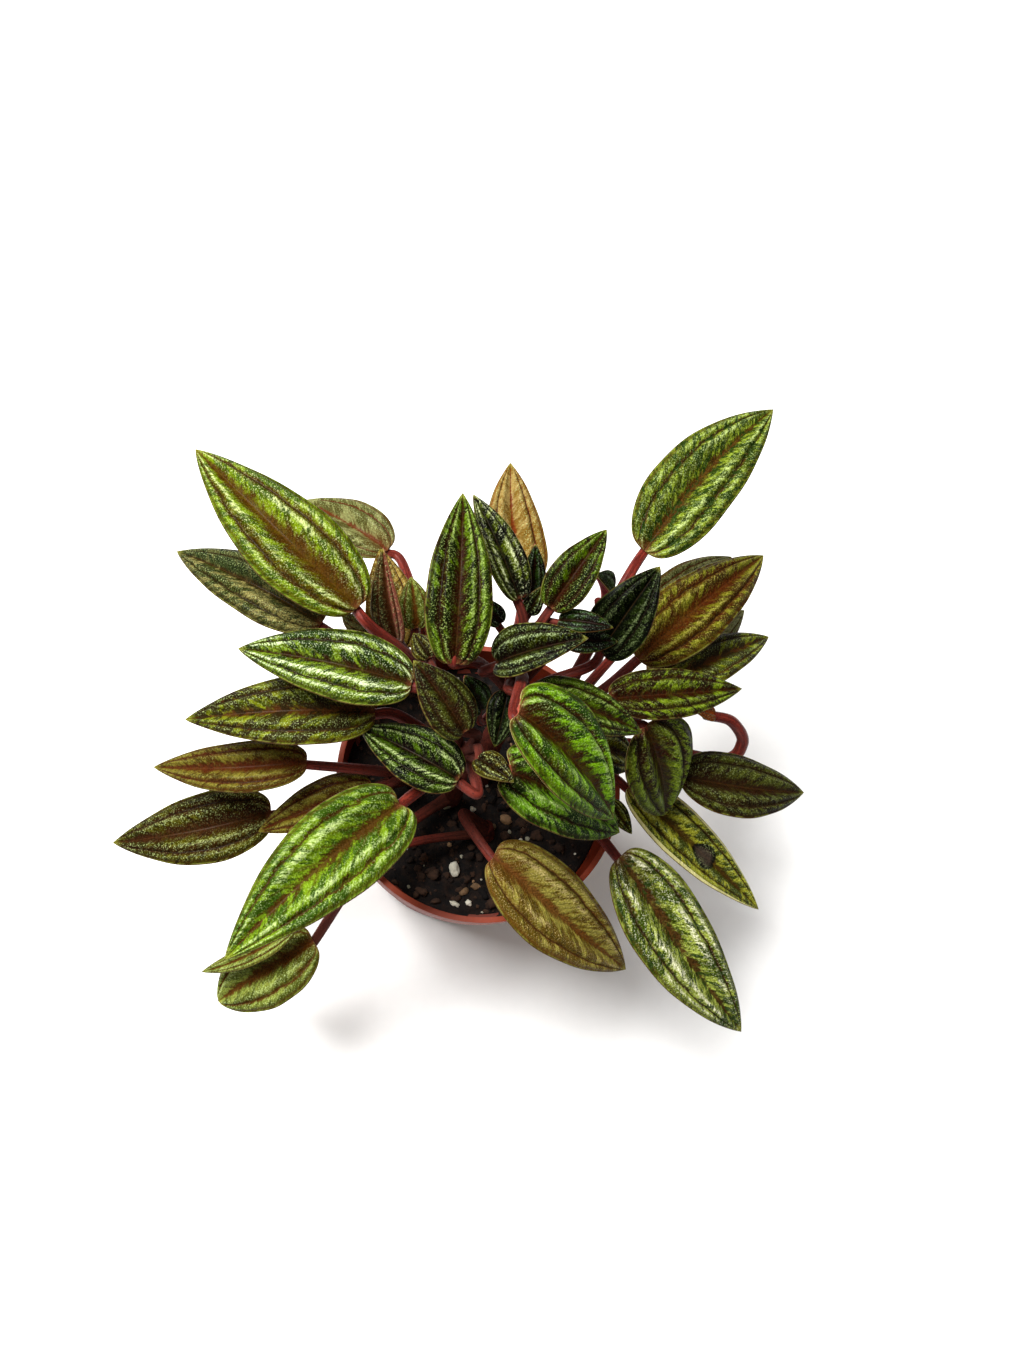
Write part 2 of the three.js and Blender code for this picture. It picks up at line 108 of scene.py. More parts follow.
LEAVES = {
    "crown": [
        leaf(92, (-3.6, -3.2, 124), (23, -18, 98), 21, "vivid", via=[(1, 7, 112)], arch=35,
             inset=2.8, fold=12, roll=12),
        leaf(88, (-13.4, 6, 117), (-13.3, 41.6, 124), 13.4, "bright", via=[(-7, 13, 104)]),
        leaf(92, (1, 25, 110), (-10, 47, 115), 8.5, "frost", under="red", fold=22),
        leaf(70, (7, 42, 82), (2, 71, 92), 15, "gold", sweep=-1.5),
        leaf(90, (5, 30, 100), (4, 38, 112), 6, "ink", under="red"),
        leaf(92, (7, 23, 111), (18, 39, 119), 9.5, "bright", fold=20),
        leaf(82, (20.3, 18.4, 100), (31, 34, 114), 13, "coal", fold=22, under="red"),
        leaf(90, (3, 4, 112), (29, 0, 102), 11, "bright"),
        leaf(86, (-1, 6, 107), (-3, -5, 102), 7, "coal", under="red"),
        leaf(92, (-5, 9.6, 112), (12, 11.4, 124), 10.5, "night", fold=28),
        leaf(93, (9, 21.6, 109.5), (20.2, 18.9, 113.5), 5.5, "ink", under="red"),
        leaf(90, (11.1, 17.9, 106.6), (23.4, 19.3, 105.6), 6, "ink", under="red"),
        leaf(92, (-2, 22, 104), (-7, 27, 106), 5, "ink", under="red"),
        leaf(93, (3.4, 24, 106), (5.6, 28, 112), 4, "night", under="red"),
        leaf(86, (22.8, 31.4, 99), (18, 32.9, 110), 9, "ink", under="red", fold=30, roll=-20),
        leaf(84, (-5, 4, 98), (-10, 9, 106), 7, "ink", under="red"),
    ],
    "left": [
        leaf(80, (-20, 7, 104), (-57, 15, 98), 16, "silver"),
        leaf(76, (-26.8, 5, 92), (-68, 3.4, 84), 16, "mottled"),
        leaf(78, (-20, -14, 92), (-54, -48, 94), 19.5, "fresh", arch=35, inset=2, sweep=0.8),
        leaf(80, (-2.5, -8.5, 101), (29.4, -16.6, 80), 18.2, "jade", arch=35, inset=4),
        leaf(86, (-7.2, -8, 104), (0, -14, 108), 6, "umber", via=[(-6, -4, 98)]),
        leaf(86, (-9, -3, 103), (-21, 10, 110), 11, "gloom", via=[(-6, -1, 97)]),
        leaf(84, (-8.8, -10.6, 95), (-30.6, 1.7, 90), 13.5, "deep"),
        leaf(55, (-37.3, -37.6, 47), (-59.6, -51.3, 36), 18, "sage", via=[(-16, -11, 61), (-26, -21, 66)],
             taper=0.7),
    ],
    "west": [
        leaf(60, (-41, -3, 78), (-76, -3, 68), 12, "rust", via=[(-27, -3, 74)], sweep=-1.5),
        leaf(59, (-48.8, -9.8, 58), (-86, -16.8, 50), 17, "olive", via=[(-34, -8, 65), (-41.8, -9.8, 61)],
             sweep=-1.5),
        leaf(61, (-26, -5.5, 70), (-52, -15.5, 62), 11.5, "rust"),
    ],
    "front": [
        leaf(56, (0, -21, 75), (37, -44, 54), 19.2, "bronze", via=[(-5, -11, 68)], arch=45, sweep=2,
             inset=1.6),
        leaf(54, (-42, -35.8, 55), (-63.5, -45.3, 43), 5.5, "sage", via=[(-17, -17, 62), (-26, -25, 66)],
             sweep=-1.5),
    ],
    "right": [
        leaf(78, (33, 47, 96), (68, 89, 100), 20, "speckled", via=[(28, 38, 94)], sweep=-1.5),
        leaf(76, (32, 22, 90), (69, 56, 84), 17, "copper", via=[(25, 16, 84)]),
        leaf(66, (42, 42, 70), (68, 65, 66), 14, "grey"),
        leaf(62, (43, 27, 66), (73, 52, 60), 14, "grey"),
        leaf(72, (39, 18, 84), (72, 37, 76), 12, "mottled"),
        leaf(78, (22, 8.1, 100), (55, 14.1, 96), 12, "dusk", arch=20, sweep=0.5),
        leaf(74, (31, 4, 98), (43, -10, 72), 20, "dusk", via=[(23.5, 6.5, 90)], inset=1.6),
        leaf(66, (45.5, -1.4, 76), (82, -1, 66), 16, "gloom", sweep=1.5),
        leaf(62, (35, -1.7, 68), (74, -28, 50), 13.5, "edged", sweep=1),
        leaf(60, (57.3, 15.9, 73), (50.3, 16, 76), 4.5, "brick",
             via=[(36, 9, 66.5), (62, 8, 61), (66.8, 11.5, 65.5), (62.2, 15, 71)], under="red", stout=1.7),
        leaf(60, (31, -5, 65), (37, -13, 64), 5, "moss", arch=10),
        leaf(70, (23, 2, 86), (34, 1, 78), 11, "moss", under="red"),
        leaf(56, (31, -19.6, 72), (66, -58, 52), 20, "cream", via=[(20, -7, 67), (27, -15, 70)], arch=40,
             sweep=2.5, inset=1),
    ],
    "back": [
        leaf(70, (-32, 25, 100), (-70, 60, 102), 20, "lime", sweep=-1.5),
        leaf(66, (-40, 28, 84), (-76, 49, 74), 16, "mist"),
        leaf(62, (-25, 57, 68), (-49, 74, 60), 15, "grey"),
        leaf(68, (-21.9, 27, 73), (-27.9, 51, 80), 13, "amber"),
        leaf(73, (-23.2, 25.1, 85), (-28.2, 37.2, 106), 7, "russet", fold=36, under="red", roll=35),
        leaf(72, (-19, 27, 87), (-21, 38, 92), 8, "sage"),
        leaf(64, (-29.1, 29.1, 80), (-36, 33.1, 78), 6, "grey"),
        leaf(73, (-16, 18, 92), (-20, 24, 92), 6, "umber"),
    ],
}


def look(dark, light, vein, band=0.22, silver=0.4, speck=0.4, **more):
    """An upper face. dark and light are the mottle, vein the bands along the veins, and band their half width
    in shares of a zone. silver and speck say how strong the pale streaks and the dark flecks are: the streaks
    are partly the leaf's own silvering and partly a painted highlight on the crests. groove, feather, foot
    and grit say how strong the dark line of painted shade along the lateral groove, the side veins, the brown
    near the petiole and the painted fine shade in the grain are. gleam colours the streaks and the painted
    glints, and margin the edge, which begins at rim and is unbroken where seam is 1. half tints one side of
    the midrib. blotch is the size, sparseness and tint of larger patches, and spot a blemish: its place
    across and along, its half width and half length."""
    plain = {"groove": 0.7, "feather": 0.7, "foot": 0.45, "grit": 0.75, "gleam": "#b5c582", "rim": 0.96,
             "margin": "#80853c", "seam": 0.0, "half": None, "blotch": None, "spot": None}
    return Table(dark=dark, light=light, vein=vein, band=band, silver=silver, speck=speck,
                 **{**plain, **more})


LOOKS = {
    "lime": look("#354b04", "#728a0c", "#432403", 0.4, 0.4, 0.3, groove=0.6, foot=0.35, grit=0.5,
            gleam="#d6dc9c"),
    "fresh": look("#304908", "#688413", "#402407", 0.16, 0.55, 0.2, groove=0.35, foot=0.1, grit=0.5),
    "vivid": look("#1c3701", "#709f0a", "#301101", 0.3, 0.35, 0.3, grit=0.6),
    "jade": look("#122a03", "#6a9a18", "#260b02", 0.2, 0.35, 0.35, grit=0.6),
    "deep": look("#030801", "#395002", "#0b0101", 0.24, 0.5, 0.4),
    "silver": look("#1b2f01", "#698018", "#260f01", 0.2, 0.6, 0.5, foot=0.3, gleam="#dce8b8"),
    "bright": look("#101801", "#496201", "#260a02", 0.34, 0.35, 0.4, grit=0.6, gleam="#a4b864"),
    "mottled": look("#363c04", "#6e760c", "#401e0a", 0.28, 0.15, 0.3, grit=0.4,
            blotch=(2.8, 0.49, "#201606")),
    "speckled": look("#424d0b", "#7a8c22", "#3f1e05", 0.2, 0.5, 0.5, feather=0.4,
            blotch=(1.2, 0.52, "#1a2e06"), foot=0.2),
    "cream": look("#3c4c08", "#94a040", "#3e200a", 0.15, 0.6, 0.5, foot=0.6, feather=0.35, gleam="#e4e0c4",
            blotch=(1.5, 0.56, "#22340c")),
    "edged": look("#343a06", "#989828", "#3c2608", 0.24, 0.15, 0.3, feather=0.4, margin="#dcd592",
            rim=0.88, seam=0.8, spot=(0.5, 26.3, 2.8, 3.4)),
    "bronze": look("#52400c", "#867c34", "#54300f", 0.16, 0.3, 0.3, groove=0.6, feather=0.0, foot=0.5,
            grit=0.45, gleam="#c0aa78"),
    "copper": look("#362604", "#696914", "#411803", 0.4, 0.15, 0.35, gleam="#a8a050"),
    "olive": look("#292501", "#4b4802", "#311607", 0.45, 0.15, 0.4),
    "rust": look("#3f2f08", "#685f1e", "#441908", 0.35, 0.1, 0.3, groove=0.5, grit=0.5, gleam="#8a8a4a"),
    "umber": look("#100301", "#4a4202", "#0e0100", 0.5, 0.15, 0.3),
    "sage": look("#454c14", "#707a30", "#472002", 0.24, 0.2, 0.35, groove=0.3, feather=0.4, foot=0.3,
            grit=0.4),
    "grey": look("#44411a", "#737344", "#54240e", 0.12, 0.0, 0.15, groove=0.3, feather=0.2, grit=0.35),
    "mist": look("#30330e", "#7f7642", "#271803", 0.15, 0.0, 0.7, groove=0.3, feather=0.2, half="#1f2c10"),
    "moss": look("#0f1701", "#676a05", "#280701", 0.28, 0.4, 0.5),
    "gloom": look("#160e03", "#424610", "#240e04", 0.4, 0.0, 0.4, gleam="#8c9862"),
    "night": look("#020201", "#353c02", "#0d0101", 0.36, 0.3, 0.4, gleam="#a9bc84"),
    "frost": look("#020501", "#505c09", "#070201", 0.3, 0.5, 0.5, gleam="#c9cf9e", foot=0.2),
    "coal": look("#010100", "#121b02", "#010100", 0.3, 0.3, 0.2, margin="#5a6a2a", gleam="#66744a"),
    "dusk": look("#1a1002", "#687d10", "#270901", 0.4, 0.1, 0.5, gleam="#8a9458"),
    "brick": look("#72360e", "#462919", "#8d4114", 0.4, 0.0, 0.2),
    "russet": look("#2c2a10", "#5c4a28", "#42200c", 0.4, 0.0, 0.1, grit=0.3, half="#82403a"),
    "ink": look("#020200", "#223b04", "#100100", 0.3, 0.3, 0.2, margin="#50602a", gleam="#809078"),
    "gold": look("#6c501a", "#8c7540", "#5f1f05", 0.1, 0.0, 0.1, feather=0.1, foot=0.0, grit=0.15),
    "amber": look("#4c3806", "#8c7232", "#481d03", 0.15, 0.0, 0.2, feather=0.2, foot=0.2, grit=0.3),
}

# What all leaves' faces share. groove is the colour of the painted shade along the lateral groove.
MARKS = Table(
    groove="#150c04", fleck="#0d1405", spot="#3a3028", spot_edge="#0c0a06", midline="#5a3e1c",
    base="#6a3a24", tip="#8a8630", rim="#4a3218", under_speck="#4a2a18", under_margin="#a9a061",
)
# The leaves' lower faces: the flesh between the veins, its flush, and the raised veins
UNDERSIDES = {
    "pale": Table(flesh="#8a8a48", flush="#7c5a36", vein="#8a4030"),
    "red": Table(flesh="#93343a", flush="#6a2028", vein="#b05a54"),
}
PETIOLE_TONES = Table(dark="#48120c", light="#6c261c", far="#5c1a14", old="#3e1f16", speck="#2c0f0c")
# edge is the colour of the painted highlight on the pot's brim and step.
POT_TONES = Table(dark="#5c1a08", light="#72260e", rub="#8c4630", edge="#8c3a1e", dust="#4e2a1e")
PEAT_TONES = ("#080504", "#2c1c12")
FLOOR_TONES = ("#f2f1ef", "#f6f5f3")
# The reach of the painted highlight below the pot's brim and off its step, and of the dust above the soil's
# top
SHEEN_AND_DUST = Table(brim=(0.7, 0.2), step=(0.1, 0.5), dust=(1, 5))

# The larger grains on the soil, where they lie: x and y, then their length and width
PERLITE = [
    (-5, -20.8, 3.5, 2.3), (-7, -4.4, 2.6, 2), (-4.8, -29.2, 2.6, 1.3), (-1.4, -28.9, 1.6, 1.3),
    (-16, -25.3, 1, 0.8), (-3.3, -17.6, 1, 0.9), (11.5, -13, 1.3, 1.1), (13.3, -12.4, 1.2, 1),
    (12.5, -9.4, 1.1, 0.9), (8.7, -10.8, 1, 0.9),
]
STONES = [
    (-2.6, -26.1, 2.6, 1.9), (0.3, -24.8, 2.2, 1.8), (7.7, -7.8, 3.2, 2.4), (-18, 9, 3, 2), (9, 20, 2.8, 2),
]
# The loose grains: the placed ones, how many more are strewn, and the range of their lengths and of their
# height over their width. detail is how fine their meshes are, and dent how rough.
GRAINS = {
    "soil_crumbs": Table(placed=[], count=900, lengths=(0.5, 3.0), flat=(0.5, 0.9), detail=2, dent=0.7,
                         tones=("#0a0605", "#382519"), roughness=0.95),
    "perlite": Table(placed=PERLITE, count=46, lengths=(0.5, 1.7), flat=(0.7, 1.0), detail=3, dent=0.5,
                     tones=("#86826e", "#cac5b4"), roughness=0.8),
    "stones": Table(placed=STONES, count=14, lengths=(0.8, 2.2), flat=(0.7, 1.0), detail=3, dent=0.35,
                    tones=("#4e3c28", "#8c6c4c"), roughness=0.7),
}
# What all grains share: a placed one's height over its width, a strewn one's width over its length, how far
# its middle stands out of the soil, how far it tilts in radians, and how fine its dents are
GRAIN = Table(flat=0.8, slim=(0.5, 0.95), rise=0.22, tilt=0.4, dents=1.3)

# The camera, looking down on the plant: its place, its axes, and its focal length in pixels
CAMERA = Table(
    place=(-35.18, -71.54, 307.37),
    right=(0.98512, 0.0, 0.17186),
    up=(-0.06245, 0.93164, 0.35798),
    back=(-0.16011, -0.36339, 0.91778),
    focal_pixels=1050, image_height=1364, sensor=36, near=10,
)
LAMP = Table(place=(-450, 200, 950), aim=(0, 0, 80), size=500, power=28)
SKY_STRENGTH = 0.34
FLOOR_REACH = 2000


# Mesh helpers

def placed(name, data):
    """A mesh, a light or a camera as an object in the scene."""
    thing = bpy.data.objects.new(name, data)
    bpy.context.scene.collection.objects.link(thing)
    return thing


def finished(name, mesh, node_names, materials):
    """Puts a mesh into the scene as a piece that stands for its CAD nodes and rides on the body."""
    for material in materials:
        mesh.materials.append(material)
    mesh.shade_smooth()
    piece = placed(name, mesh)
    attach(piece, "root")
    if node_names:
        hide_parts(*node_names)


def mesh_of(name, points, faces, face_materials=None, **attributes):
    """A mesh from millimetre points, with named vectors on its vertices."""
    mesh = bpy.data.meshes.new(name)
    mesh.from_pydata((np.asarray(points, float) * MM).tolist(), [], faces)
    for key, values in attributes.items():
        layer = mesh.attributes.new(key, "FLOAT_VECTOR", "POINT")
        layer.data.foreach_set("vector", np.asarray(values, np.float32).ravel())
    if face_materials is not None:
        mesh.polygons.foreach_set("material_index", face_materials)
    mesh.update()
    return mesh


def catmull_rom(points, steps):
    """Points along the smooth curve through the given ones, with mirrored ends."""
    rows = [2 * points[0] - points[1], *points, 2 * points[-1] - points[-2]]
    found = []
    for i in range(len(points) - 1):
        a, b, c, d = rows[i:i + 4]
        for k in range(steps):
            u = k / steps
            found.append(0.5 * (2 * b + (c - a) * u + (2 * a - 5 * b + 4 * c - d) * u ** 2
                                + (3 * b - a - 3 * c + d) * u ** 3))
    found.append(points[-1])
    return found


def bell(value, centre, width):
    """1 at the centre, and nearly 0 two widths away."""
    return math.exp(-((value - centre) / width) ** 2)


def tube(centres, radii, sides, groove):
    """A closed tube round a line of points, grooved on top: its points, each one's angle, and its faces."""
    count = len(centres)
    points, angles = [], []
    reference = UP + LEAN
    for i in range(count):
        tangent = (centres[min(i + 1, count - 1)] - centres[max(i - 1, 0)]).normalized()
        reference = (reference - tangent * reference.dot(tangent)).normalized()
        side = tangent.cross(reference)
        for k in range(sides):
            angle = 2 * math.pi * k / sides
            turn = angle if angle < math.pi else angle - 2 * math.pi
            radius = radii[i] * (1 - groove * bell(turn, 0, PETIOLE.groove_width))
            points.append(centres[i] + radius * (math.cos(angle) * reference + math.sin(angle) * side))
            angles.append(angle)
    faces = []
    for i in range(count - 1):
        for k in range(sides):
            a, b = i * sides + k, i * sides + (k + 1) % sides
            faces.append((a, a + sides, b + sides, b))
    faces.append(tuple(range(sides)))
    faces.append(tuple(reversed(range((count - 1) * sides, count * sides))))
    return points, angles, faces


# Material helpers

def linear(code):
    """A colour code as linear red, green, blue and alpha."""
    values = [int(code[i:i + 2], 16) / 255 for i in (1, 3, 5)]
    return (*[v / 12.92 if v <= 0.04045 else ((v + 0.055) / 1.055) ** 2.4 for v in values], 1.0)


class Value:
    """What comes out of a material's node. Reckoning with it adds more nodes."""

    def __init__(self, shade, socket):
        self.shade, self.socket = shade, socket

    def math(self, operation, *others):
        return self.shade.add("Math", self, *others, operation=operation)

    def __add__(self, other):
        return self.math("ADD", other)

    def __sub__(self, other):
        return self.math("SUBTRACT", other)

    def __mul__(self, other):
        return self.math("MULTIPLY", other)

    def __pow__(self, other):
        return self.math("POWER", other)

    def __abs__(self):
        return self.math("ABSOLUTE")

    def least(self, other):
        return self.math("MINIMUM", other)

    def most(self, other):
        return self.math("MAXIMUM", other)

    def hump(self):
        """0 at 0 and at 1, and 1 halfway."""
        return (self * math.pi).math("SINE")

    def rise(self, low, high):
        """0 below low, 1 above high, smooth between."""
        return self.shade.add("MapRange", self, low, high, 0.0, 1.0, interpolation_type="SMOOTHSTEP")

    def fall(self, low, high):
        return self.shade.add("Math", 1.0, self.rise(low, high), operation="SUBTRACT")

    def scaled(self, *scale):
        return self.shade.add("VectorMath", self, scale, operation="MULTIPLY")

    def split(self):
        node = self.shade.add("SeparateXYZ", self).socket.node
        return [Value(self.shade, socket) for socket in node.outputs]

    def noise(self, scale=1.0, detail=2.0, roughness=0.5):
        return self.shade.add("TexNoise", self, None, scale, detail, roughness)

    def stained(self, tint, mask, strength=1.0):
        """This colour, with a tint over it where the mask is high."""
        return self.shade.mix(mask * strength, self, tint)


class Shade:
    """A material, and the nodes that it is made of."""

    def __init__(self, name, **constants):
        self.material = bpy.data.materials.new(name)
        self.material.use_nodes = True
        self.nodes = self.material.node_tree.nodes
        self.links = self.material.node_tree.links
        self.shader = self.nodes["Principled BSDF"]
        for socket, value in constants.items():
            self.shader.inputs[socket.replace("_", " ")].default_value = value

    def fill(self, socket, value):
        if isinstance(value, Value):
            self.links.new(value.socket, socket)
        elif value is not None:
            socket.default_value = linear(value) if isinstance(value, str) else value

    def add(self, kind, *values, output=0, **settings):
        """Adds a node with these inputs and settings, where None leaves an input as it is."""
        node = self.nodes.new("ShaderNode" + kind)
        for key, value in settings.items():
            setattr(node, key, value)
        for socket, value in zip(node.inputs, values):
            self.fill(socket, value)
        return Value(self, node.outputs[output])

    def mix(self, factor, first, second):
        return self.add("Mix", factor, *[None] * 5, first, second, output=2, data_type="RGBA")

    def vector(self, name):
        return self.add("Attribute", output="Vector", attribute_name=name)

    def place(self):
        return self.add("TexCoord", output="Object")

    def finish(self, color, roughness, height=None, depth=0.0002):
        """Sets the shader's colour and roughness, and a bump of this depth in metres."""
        self.fill(self.shader.inputs["Base Color"], color)
        self.fill(self.shader.inputs["Roughness"], roughness)
        if height is not None:
            bump = self.nodes.new("ShaderNodeBump")
            bump.inputs["Distance"].default_value = depth
            self.fill(bump.inputs["Height"], height)
            self.links.new(bump.outputs[0], self.shader.inputs["Normal"])
        return self.material


# Leaf materials. The attribute blade holds the vein zone, the share along and the share across, and grain
# holds the flattened blade's own millimetres and a number that differs from leaf to leaf.

def upper_material(name, face):
    """Mottle, bands along the veins, a dark line of painted shade in the lateral groove, streaks that are
    partly silvering and partly painted highlight, dark flecks, painted fine shade and glints, and a thin
    margin.
    """
    shade = Shade("upper_" + name, Specular_IOR_Level=0.02, Coat_Weight=0.03, Coat_Roughness=0.18)
    zone, along, across = shade.vector("blade").split()
    grain = shade.vector("grain")
    wide, far, mark = grain.split()
    # This one slants away from the midrib, as the side veins do.
    slanted = shade.add("CombineXYZ", wide, far - abs(wide), mark)
    warp = grain.scaled(0.45, 0.25, 1).noise() - 0.5
    ripple = slanted.scaled(0.35, 1.3, 1).noise(roughness=0.6)
    patch = slanted.scaled(0.42, 0.5, 1).noise(roughness=0.6)
    drift = grain.scaled(0.12, 0.08, 1).noise(detail=1.0)
    fine = grain.noise(2.2, 3.0, 0.65)
    v = abs(zone) + warp * 0.35
    inner = (v.least(1.0) ** 2.0).hump()
    outer = (v.most(1.0).least(2.0) - 1.0).hump()
    crest = inner.most(outer * 0.92)

    mottle = patch * 0.6 + fine * 0.22 + ripple * 0.2 + (drift - 0.5) * 0.35
    color = shade.mix(mottle.rise(0.45, 0.57), face.dark, face.light)
    color = color.stained(face.dark, across.rise(0.72, 0.95), 0.5)
    if face.half:
        color = color.stained(face.half, zone.rise(-0.1, 0.3), 0.75)

    ragged = v + (patch + fine - 1.0) * (0.15 + 0.5 * face.feather)
    slim = along * 0.9 + 0.75
    midrib = (ragged * slim).fall(face.band * 0.5, face.band * 1.8)
    lateral = abs(ragged - 1.06).fall(0.02, face.band * 1.1)
    outmost = abs(ragged - 2.0).fall(0.0, 0.3) * 0.6
    feather = (along * 8.0 - v * 2.2 + warp * 1.6).math("FRACT")
    feather = abs(feather - 0.5).fall(0.0, 0.2) * v.fall(0.25, 0.75) * face.feather
    color = color.stained(face.vein, midrib.most(lateral).most(outmost).most(feather), 0.92)
    color = color.stained(face.vein, (along + ragged * 0.2).fall(0.08, 0.42), face.foot)
    # Painted shade: a near-black line along the lateral groove, where the crease lies in shadow.
    color = color.stained(MARKS.groove, abs(v - 1.03).fall(0.02, 0.1), face.groove)

    strokes = slanted.scaled(0.9, 1.9, 1).noise(1.0, 3.0, 0.7)
    gaps = drift.rise(0.42, 0.54) * patch.rise(0.34, 0.46) * strokes.fall(0.49, 0.56)
    # Streaks along the crests: partly the leaf's own silvering, partly a painted highlight where the crests
    # would catch the lamp.
    silver = crest.rise(0.9 - 0.2 * face.silver, 0.98) * gaps
    color = color.stained(face.gleam, silver, min(0.8, 1.2 * face.silver))
    dots = grain.noise(1.9, 1.0, 0.4).rise(0.58, 0.64)
    color = color.stained(MARKS.fleck, strokes.rise(0.53, 0.58).most(dots), face.speck)
    if face.spot:
        x, y, half_width, half_length = face.spot
        offset = shade.add("VectorMath", grain, (x, y, 0), operation="SUBTRACT")
        offset = offset.scaled(1 / half_width, 1 / half_length, 0)
        reach = shade.add("VectorMath", offset, output="Value", operation="LENGTH") + warp * 0.4
        color = color.stained(MARKS.spot_edge, reach.fall(1.0, 1.12))
        color = color.stained(MARKS.spot, reach.fall(0.6, 0.95))
    if face.blotch:
        size, least, tint = face.blotch
        blotch = slanted.scaled(1, 0.8, 1).noise(1 / size, 3.0, 0.6)
        color = color.stained(tint, blotch.rise(least, least + 0.04), 0.9)

    # Painted fine shade and painted glints: grit darkens the colour in a fine grain, and gleam is painted as
    # glints on the crests.
    shade_and_glint_grain = grain.noise(3.4, 2.0, 0.6)
    color = color.stained(color.scaled(0.36, 0.36, 0.3), shade_and_glint_grain.fall(0.38, 0.52), face.grit)
    color = color.stained(face.gleam, shade_and_glint_grain.rise(0.56, 0.64) * crest, 0.46)
    color = color.stained(MARKS.midline, abs(zone).fall(0.015, 0.05), 0.12)
    color = color.stained(MARKS.base, along.fall(0.0, 0.05), 0.5)
    color = color.stained(MARKS.tip, along.rise(0.93, 1.0), 0.5)
    seam = patch.rise(0.42, 0.54).most(face.seam)
    edge = across.rise(face.rim, face.rim + 0.02) * seam
    color = color.stained(face.margin, edge, 0.45 + 0.4 * face.seam)
    color = color.stained(MARKS.rim, across.rise(0.985, 0.998), 0.8)
    return shade.finish(color, fine * 0.3 + 0.2, ripple * 0.8 + fine * 0.7, depth=0.0005)


def lower_material(name, face):
    """Flesh with a flush in patches, raised veins, a few specks and a pale margin."""
    shade = Shade("lower_" + name, Specular_IOR_Level=0.2)
    zone, along, across = shade.vector("blade").split()
    grain = shade.vector("grain")
    fine = grain.noise(1.4, 3.0, 0.6)
    patch = grain.scaled(1.0, 0.5, 1).noise(0.3)
    v = abs(zone)
    color = shade.mix(patch.rise(0.35, 0.65), face.flesh, face.flush)
    color = color.stained(face.vein, v.least(abs(v - 1.0)).fall(0.04, 0.16), 0.85)
    color = color.stained(MARKS.under_speck, fine.rise(0.58, 0.7), 0.3)
    color = color.stained(face.vein, along.fall(0.0, 0.12))
    color = color.stained(MARKS.under_margin, across.rise(0.95, 1.0))
    return shade.finish(color, 0.5, fine)


def stem_material():
    """Brick red petioles with dark specks and fine lines, browner on the trunks and near the soil."""
    shade = Shade("petiole_skin", Specular_IOR_Level=0.1, Coat_Weight=0.02, Coat_Roughness=0.2)
    run, age, _ = shade.vector("run").split()
    grain = shade.vector("grain")
    lines = grain.scaled(1.6, 0.16, 1).noise(1.0, 3.0, 0.6)
    fine = grain.noise(1.6, 3.0, 0.6)
    specks = grain.noise(2.2, 1.0, 0.4).rise(0.6, 0.66)
    color = shade.mix(lines.rise(0.35, 0.65), PETIOLE_TONES.dark, PETIOLE_TONES.light)
    color = color.stained(PETIOLE_TONES.far, run.rise(0.75, 1.0), 0.35)
    color = color.stained(PETIOLE_TONES.old, age, 0.85)
    color = color.stained(PETIOLE_TONES.speck, specks, 0.65)
    return shade.finish(color, age * 0.5 + 0.4, lines + fine * 0.4, depth=0.00025)


def pot_material():
    """Moulded plastic: matt, faintly mottled, with a painted highlight on the brim and at the step under the
    collar, and smudged from the soil's height down."""
    shade = Shade("pot_plastic", Specular_IOR_Level=0.25)
    place = shade.place()
    height = place.split()[2] * (1 / MM)
    cloud = place.noise(60.0, 3.0, 0.6)
    fine = place.noise(1400.0, 3.0, 0.6)
    rings = place.scaled(40, 40, 1400).noise()
    smudge = place.noise(260.0, 4.0, 0.7).rise(0.5, 0.62)
    brim = height.rise(*(POT.height - drop for drop in SHEEN_AND_DUST.brim))
    step = abs(height - (POT.height - POT.collar_height)).fall(*SHEEN_AND_DUST.step)
    dust = height.fall(*(SOIL.top + reach for reach in SHEEN_AND_DUST.dust))
    color = shade.mix(cloud.rise(0.3, 0.7), POT_TONES.dark, POT_TONES.light)
    color = color.stained(POT_TONES.rub, fine.rise(0.6, 0.75), 0.35)
    # Painted highlight: a lighter band on the brim and a fainter one at the step under the collar.
    color = color.stained(POT_TONES.edge, brim.most(step * 0.6), 0.4)
    color = color.stained(POT_TONES.dust, dust * smudge, 0.35)
    return shade.finish(color, 0.52, fine + rings, depth=0.00008)


def soil_material(name, tones, roughness=0.95):
    """Crumbly matter between two tones, each lump with a tone of its own."""
    shade = Shade(name, Specular_IOR_Level=0.25)
    place = shade.place()
    coarse = place.noise(500.0, 4.0, 0.65)
    fine = place.noise(2600.0, 3.0, 0.7)
    own = shade.vector("tone").split()[0]
    color = shade.mix((coarse * 0.6 + own * 0.5).rise(0.35, 0.8), *tones)
    return shade.finish(color, roughness, coarse + fine * 0.5, depth=0.0004)


# Leaves

def blade_axes(spec):
    start, tip = Vector(spec.base), Vector(spec.tip)
    along = (tip - start).normalized()
    level_face = (UP - along * along.z).normalized()
    level_across = along.cross(level_face)
    roll = math.radians(spec.roll)
    face = level_face * math.cos(roll) - level_across * math.sin(roll)
    return Table(start=start, along=along, face=face, across=along.cross(face),
                 length=(tip - start).length, half=math.radians(spec.arch) / 2)


